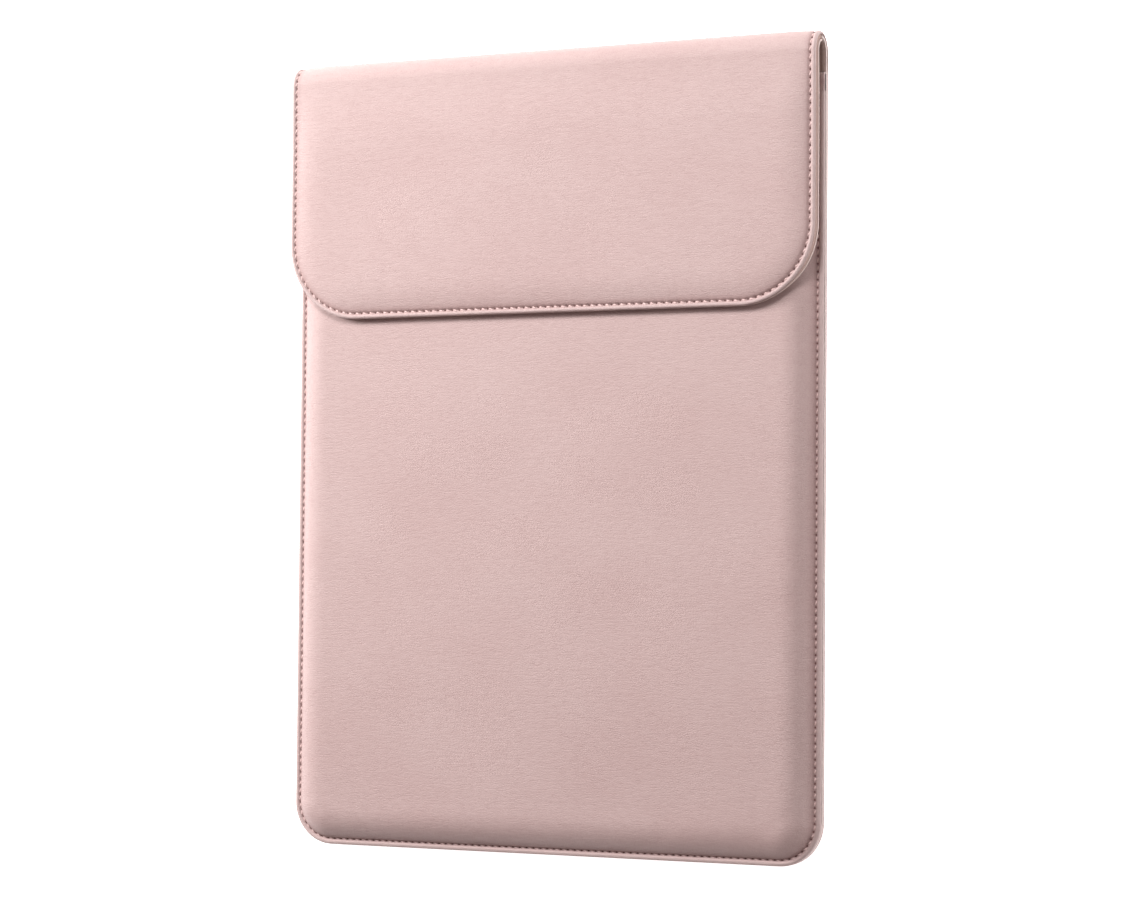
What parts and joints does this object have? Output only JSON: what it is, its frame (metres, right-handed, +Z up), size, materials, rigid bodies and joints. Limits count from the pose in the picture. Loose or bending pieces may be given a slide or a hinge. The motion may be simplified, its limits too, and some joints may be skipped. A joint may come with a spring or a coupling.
{
  "type": "laptop sleeve",
  "caption": "Padded envelope sleeve for a slim laptop, lying on its back, with a stitched front pocket and a fold-over flap hinged along its top edge.",
  "frame": {"origin": "on the surface that the back rests on, in the middle of the width and of the length", "axes": "+X to the right across the width, +Y along the length from the bottom edge to the fold, +Z up, out of the front with the flap, so -Z is the back face's outward normal"},
  "size_m": [0.252, 0.345, 0.016],
  "materials": {
    "pink_leather": "fine pebbled synthetic leather, satin",
    "lining_fabric": "short-nap microfibre",
    "foam": "closed-cell foam sheet",
    "board": "thin stiffening board",
    "magnet": "nickel-plated",
    "thread": "twisted polyester thread"
  },
  "bodies": {
    "sleeve": {"back_shell": "pink_leather", "back_foam": "foam", "back_board": "board", "back_lining": "lining_fabric", "front_shell": "pink_leather", "front_foam": "foam", "front_magnets": "magnet", "front_lining": "lining_fabric", "mouth_hem": "pink_leather", "mouth_stitching": "thread", "seam_stitching": "thread", "seam_back_stitching": "thread"},
    "fold": {"fold_shell": "pink_leather", "fold_foam": "foam", "fold_lining": "lining_fabric", "fold_stitching": "thread", "fold_inner_stitching": "thread"},
    "flap": {"flap_shell": "pink_leather", "flap_foam": "foam", "flap_board": "board", "flap_magnets": "magnet", "flap_lining": "lining_fabric", "flap_stitching": "thread", "flap_inner_stitching": "thread"}
  },
  "joints": [
    {"name": "fold_roll", "type": "hinge", "parent": "sleeve", "child": "fold", "pos_m": [0, 0.16907, 0], "axis": [-1, 0, 0], "range_deg": [0, 90]},
    {"name": "flap_open", "type": "hinge", "parent": "fold", "child": "flap", "pos_m": [0, 0.16907, 0.016], "axis": [-1, 0, 0], "range_deg": [0, 90]}
  ],
  "couplings": [
    {"joint": "fold_roll", "follows": "flap_open", "ratio": 1}
  ]
}
